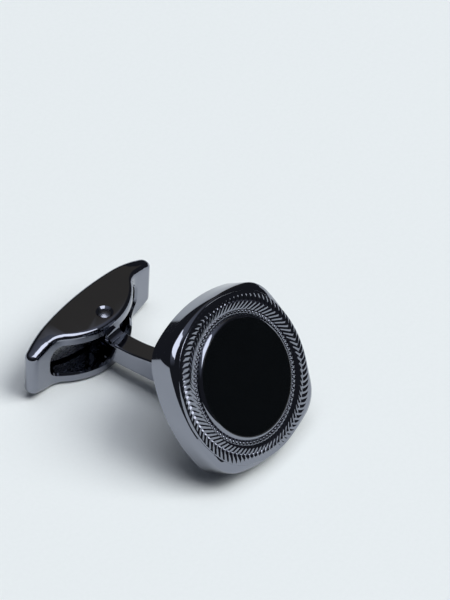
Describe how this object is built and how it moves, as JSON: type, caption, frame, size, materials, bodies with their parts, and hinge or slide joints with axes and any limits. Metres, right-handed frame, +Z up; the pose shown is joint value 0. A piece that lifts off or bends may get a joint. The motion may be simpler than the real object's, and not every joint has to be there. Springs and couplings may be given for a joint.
{
  "type": "cufflink",
  "caption": "Cufflink with a cushion-shaped head, an engraved ring round a flat black inlay, a curved post and a spring-held swivel toggle that folds in line with the post.",
  "frame": {"origin": "where the toggle's pin axis meets the lower cheek, on the surface the part lies on", "axes": "+X along the toggle, -Y from the toggle towards the head's face, +Z up along the pin"},
  "size_m": [0.0176, 0.0247, 0.0147],
  "materials": {
    "gunmetal": "mirror-polished black nickel plate",
    "onyx": "polished",
    "adhesive": "cured epoxy",
    "steel": "bright"
  },
  "bodies": {
    "head": {"bezel_case": "gunmetal", "beaded_ring": "gunmetal", "onyx_inlay": "onyx", "inlay_bed": "adhesive", "back_plate": "gunmetal", "post": "gunmetal"},
    "toggle": {"toggle_shell": "gunmetal", "pivot_pin": "steel", "leaf_spring": "steel"}
  },
  "joints": [
    {"name": "toggle_swivel", "type": "hinge", "parent": "head", "child": "toggle", "pos_m": [0, 0, 0.0031], "axis": [0, 0, 1], "range_deg": [-90, 90], "deforming": ["leaf_spring"]}
  ]
}
